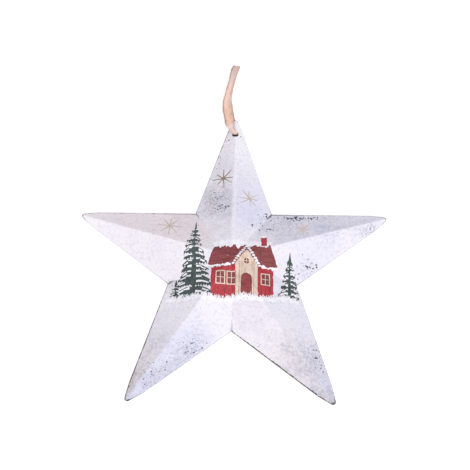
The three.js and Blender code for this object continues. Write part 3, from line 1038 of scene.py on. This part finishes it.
def paint_roof():
    left, right = COTTAGE_LEFT - ROOF_OVERHANG, COTTAGE_RIGHT + ROOF_OVERHANG
    roof = [(left, EAVES), (right, EAVES), (right - ROOF_SLANT, ROOF_TOP), (left + ROOF_SLANT, ROOF_TOP)]
    painted("cottage_roof", [wobbly(roof, 0.35, 3)], maroon, 1)
    chimney = rectangle(CHIMNEY_LEFT, ROOF_TOP - 3, CHIMNEY_RIGHT, CHIMNEY_TOP)
    painted("cottage_chimney", [wobbly(chimney, 0.25, 2)], red, 6)
    shingles = []
    for k in range(1, SHINGLE_ROWS):
        y = EAVES + k * (ROOF_TOP - EAVES) / SHINGLE_ROWS
        inset = ROOF_SLANT * k / SHINGLE_ROWS + 0.8
        for side, x in ((-1, left + inset), (1, right - inset)):
            end = GABLE_MIDDLE + side * (SHINGLE_ROWS - k) * 1.6
            shingles.append(brushed((x, y), (end, y + 0.2), 0.35, 0.7, 0.25, 10 * k + side))
    painted("roof_shingles", shingles, dark_maroon, 2, 0.02)
    courses = []
    for k in range(3):
        y = ROOF_TOP - 1.6 + k * 2.0
        start, end = (CHIMNEY_LEFT + 0.1, y), (CHIMNEY_RIGHT - 0.1, y + 0.1)
        courses.append(brushed(start, end, 0.28, 0.9, 0.1, k))
    painted("chimney_courses", courses, maroon, 7)
    barge = []
    for side, foot, seed in ((1, GABLE_LEFT - 2.2, 31), (-1, GABLE_RIGHT + 2.2, 32)):
        peak = (GABLE_MIDDLE + side * 0.5, GABLE_PEAK + 1.2)
        barge.append(brushed(peak, (foot, EAVES - 0.6), 1.5, 0.9, 0.2, seed))
    painted("gable_roof", barge, maroon, 4)


def paint_roof_snow():
    """Snow in uneven lobes along the roof's ridge, on the gable, the chimney and the eaves."""
    rng = Random(5)
    lobes = []
    x = COTTAGE_LEFT + 2.6
    while x < COTTAGE_RIGHT - 2.2:
        wide = rng.uniform(3.0, 4.8)
        tall = rng.uniform(2.6, 6.4)
        lobes.append(wobbly(dab(x, ROOF_TOP + 0.3 - tall * 0.36, wide, tall, rng, 12), 0.2, x))
        x += wide * 0.62
    painted("roof_snow", lobes, snow, 3, 0.05)
    caps = []
    for side in (-1, 1):
        for k in range(9):
            share = (k + 0.3) / 9
            x = GABLE_MIDDLE + side * share * (GABLE_RIGHT - GABLE_LEFT + 4) / 2
            y = EAVES + 13.0 - share * 13.2
            caps.append(dab(x, y, rng.uniform(1.8, 2.6), rng.uniform(1.1, 1.7), rng))
    caps.append(dab((CHIMNEY_LEFT + CHIMNEY_RIGHT) / 2, CHIMNEY_TOP + 0.1, 5.0, 2.0, rng, 12))
    x = COTTAGE_LEFT - 2.6
    while x < COTTAGE_RIGHT + 3.0:
        if not GABLE_LEFT - 2 < x < GABLE_RIGHT + 2:
            y = EAVES + rng.uniform(-0.5, 0.4)
            caps.append(dab(x, y, rng.uniform(1.6, 2.6), rng.uniform(1.1, 2.3), rng))
        x += rng.uniform(1.3, 1.8)
    painted("eaves_snow", caps, snow, 8, 0.07)


DROOP_CURVE = 1.3


def bough(x, y, side, reach, rng, thick):
    """The outline of a drooping bough with a ragged lower edge, and its smooth top edge alone."""
    droop = rng.uniform(0.20, 0.36) * reach + 0.7
    top = []
    for k in range(7):
        share = k / 6
        swell = 0.3 * thick * sin(pi * share)
        top.append((x + side * reach * share, y - droop * share**DROOP_CURVE + swell))
    outline = list(top)
    teeth = max(4, round(reach / 0.9))
    for k in range(teeth, -1, -1):
        share = k / teeth
        base = y - droop * share**DROOP_CURVE - thick * (1 - 0.7 * share)
        long = rng.uniform(0.2, 1.3) if k % 2 else rng.uniform(-0.6, 0.1)
        outline.append((x + side * reach * (share * 0.97 + 0.02), base - long))
    return outline, top


def paint_fir(name, x, foot, tall, wide, seed):
    """A fir of loose drooping boughs with gaps between them, and snow along their tops."""
    rng = Random(seed)
    trunk = stroke((x, foot - 0.5), (x + 0.2, foot + tall), 1.3, 0.35)
    leader = brushed((x, foot + tall * 0.80), (x + 0.2, foot + tall + 1.5), 2.4, 0.1, 0.15, seed)
    boughs = [trunk, leader]
    snowy = []
    tiers = max(6, round(tall / 3.9))
    for tier in range(tiers):
        share = tier / tiers
        y = foot + 3.4 + share * (tall - 4.5)
        for side in (-1, 1):
            reach = wide / 2 * (1 - share) ** 0.8 * rng.uniform(0.86, 1.08) + 0.6
            thick = (4.0 - 1.7 * share) * min(1.0, wide / 20 + 0.3) * rng.uniform(0.8, 1.15)
            outline, top = bough(x, y + rng.uniform(-0.7, 0.7), side, reach, rng, thick)
            boughs.append(wobbly(outline, 0.18, seed + tier * 2 + side, 0.7))
            for k in (1, 3):
                if reach > 2 and rng.random() < 0.9:
                    drop = thick * rng.uniform(0.05, 0.45)
                    start = (top[k][0], top[k][1] - drop)
                    end = (top[k + 2][0], top[k + 2][1] - drop * 0.8)
                    width = thick * rng.uniform(0.25, 0.50)
                    snowy.append(brushed(start, end, width, 0.5, 0.25, seed + tier + k, 0.5))
    painted(name + "_boughs", boughs, green, 1)
    painted(name + "_snow", snowy, bough_snow, 2, 0.06)


SNOW_REACH = 42
SNOW_SWELL = 0.9
SNOW_WAVES = 0.23
SNOW_DABS = 110
SNOW_STROKES = 120


def snow_foot(x, depth):
    return GROUND_LINE - depth + SNOW_SWELL * sin(x * SNOW_WAVES)


def paint_ground_snow():
    """Bristly snow: dabs and short upright strokes that hide the feet of what stands in it."""
    rng = Random(9)
    for layer in range(3):
        touches = []
        for _ in range(SNOW_DABS):
            x = rng.uniform(-SNOW_REACH, SNOW_REACH)
            y = snow_foot(x, 2.6) + rng.uniform(-0.9, 1.2)
            size = rng.uniform(0.6, 1.7)
            touches.append(dab(x, y, size * rng.uniform(0.9, 1.5), size, rng))
        for _ in range(SNOW_STROKES):
            x = rng.uniform(-SNOW_REACH, SNOW_REACH)
            foot = snow_foot(x, 2.4)
            lean = rng.gauss(0, 0.5)
            tall = rng.uniform(1.2, 3.8)
            tip = (x + lean * tall, foot + tall)
            touches.append(stroke((x, foot), tip, rng.uniform(0.5, 0.9), 0.3))
        painted(f"ground_snow_{layer}", touches, snow, 5 + layer, 0.05)


def paint_starburst(name, x, y, reach, width, material, seed):
    """Four thin hand-drawn lines that cross, each a little bent and uneven."""
    rng = Random(seed)
    rays = []
    for k in range(4):
        angle = k * pi / 4 + rng.uniform(-0.12, 0.12)
        for turn in (0, pi):
            length = reach * rng.uniform(0.72, 1.05)
            direction = angle + turn + rng.uniform(-0.05, 0.05)
            start = around(x, y, -0.5, -0.5, direction)
            end = around(x, y, length, length, direction)
            wide = width * rng.uniform(0.8, 1.2)
            rays.append(brushed(start, end, wide, rng.uniform(0.35, 0.7), 0.16, seed + k))
    painted(name, rays, material, 0, 0.04)


# Larger flecks: centre, spread across and along, how many, and their size
FLECKS = [
    (-6, 36, 5, 4, 18, 1.2), (-11, 44, 5, 9, 22, 1.2), (-12, 70, 4, 8, 6, 1.0),
    (43.0, 32.4, 11, 1.8, 64, 1.35), (52, 31, 12, 2.0, 12, 0.8), (22, 24, 7, 4, 16, 1.2),
    (51, -1, 6, 5, 22, 1.8), (43, -7, 4, 3, 8, 1.0), (-24, -55, 10, 5, 22, 1.5),
    (-42, -70, 12, 9, 24, 0.9), (57, -61, 3, 11, 16, 1.0), (18, -53, 4, 2, 5, 1.0),
    (-50, -71, 7, 8, 12, 0.8), (90, 27, 6, 2, 8, 1.0), (-39, -14, 1.5, 1.5, 5, 0.8),
    (3.9, 93.5, 0.2, 0.2, 1, 2.4), (-4.0, 90.2, 0.6, 0.6, 1, 1.0), (51.5, -55, 3, 7, 9, 1.2),
    (54.5, -65, 3, 7, 9, 1.2), (23, 32, 9, 6, 18, 1.2),
]
FLECK_CLEAR = 1.2  # from the rim


def paint_flecks():
    rng = Random(17)
    flecks = []
    for cx, cy, wide, tall, count, scale in FLECKS:
        for _ in range(count):
            x, y = cx + rng.gauss(0, wide / 2), cy + rng.gauss(0, tall / 2)
            size = scale * (0.25 + 0.75 * rng.random() ** 2)
            _, across, along = arm_place(x, y)
            if rim_distance(across, along) > FLECK_CLEAR:
                flecks.append(dab(x, y, size * rng.uniform(0.8, 1.7), size, rng, 6))
    painted("spatter_flecks", flecks, fleck_paint, 0, 0.03)


paint_fir("tall_fir", -24.5, GROUND_LINE - 1, 50.0, 25.0, 21)
paint_fir("left_fir", -35.8, GROUND_LINE, 9.5, 6.0, 22)
paint_fir("right_fir", 36.5, GROUND_LINE, 27.0, 13.0, 23)
paint_walls()
paint_openings()
paint_roof()
paint_roof_snow()
paint_ground_snow()
paint_starburst("starburst_high", -7.3, 59.1, 8.0, 0.85, gold, 41)
paint_starburst("starburst_low", 10.5, 44.0, 7.4, 0.75, faint_gold, 42)
paint_starburst("starburst_left", -41.6, 24.4, 8.6, 0.70, faint_gold, 43)
paint_starburst("starburst_right", 45.2, 22.5, 7.0, 1.30, ghost_gold, 44)
paint_flecks()


# The table and the light

TABLE_SIZE = 3.0  # metres, half its side
# A painted shadow: the table is dark in a small disc under the hole, and its glow is left out there
HOLE_SHADOW_DISC = (0.0045, 0.0055)  # its radius in metres, inside and outside its soft edge
TABLE_GLOW = 0.30
WORLD_LIGHT = 0.75
KEY_PLACE = (0.66, -2.70, 3.0)
KEY_SIZE = 2.1
KEY_WATTS = 72


def make_table():
    mesh = bpy.data.meshes.new("table")
    corners = [(x, y, 0) for x, y in rectangle(0, 0, 0, 0, TABLE_SIZE)]
    mesh.from_pydata(corners, [], [(0, 1, 2, 3)])
    table = in_scene("table", mesh)
    n = Nodes("white_table", 0.9, HOLE_SHADOW)
    hole = (0.0, (HOLE_Y + CENTRE_Y) * MM, 0.0)
    from_hole = n.add("VectorMath", {0: n.place(), 1: hole}, operation="DISTANCE").outputs["Value"]
    # dark under the hole: a painted shadow seen through it
    open_table = n.ramp(from_hole, *HOLE_SHADOW_DISC)
    n.over(open_table, TABLE_PALE)
    strength = n.times(n.seen(), open_table, TABLE_GLOW)
    glow = n.add("Emission", {"Color": FULL_WHITE, "Strength": strength})
    both = n.add("AddShader", {0: n.shader.outputs[0], 1: glow.outputs[0]})
    n.feed(n.tree.nodes["Material Output"].inputs["Surface"], both.outputs[0])
    mesh.materials.append(n.material)


def make_key_light():
    data = bpy.data.lights.new("key", "AREA")
    data.shape = "SQUARE"
    data.size = KEY_SIZE
    data.energy = KEY_WATTS
    light = in_scene("key", data)
    light.location = KEY_PLACE
    light.rotation_euler = (-Vector(KEY_PLACE)).to_track_quat("-Z", "Y").to_euler()


def make_world():
    """Even white light all round, which the camera sees as plain white."""
    n = WorldNodes("world")
    background = n.tree.nodes["Background"].inputs
    n.feed(background["Color"], FULL_WHITE)
    n.feed(background["Strength"], n.level(n.seen(), 1 - WORLD_LIGHT, WORLD_LIGHT))
    scene.world = n.world


make_table()
make_world()
make_key_light()
scene.view_settings.view_transform = "Standard"
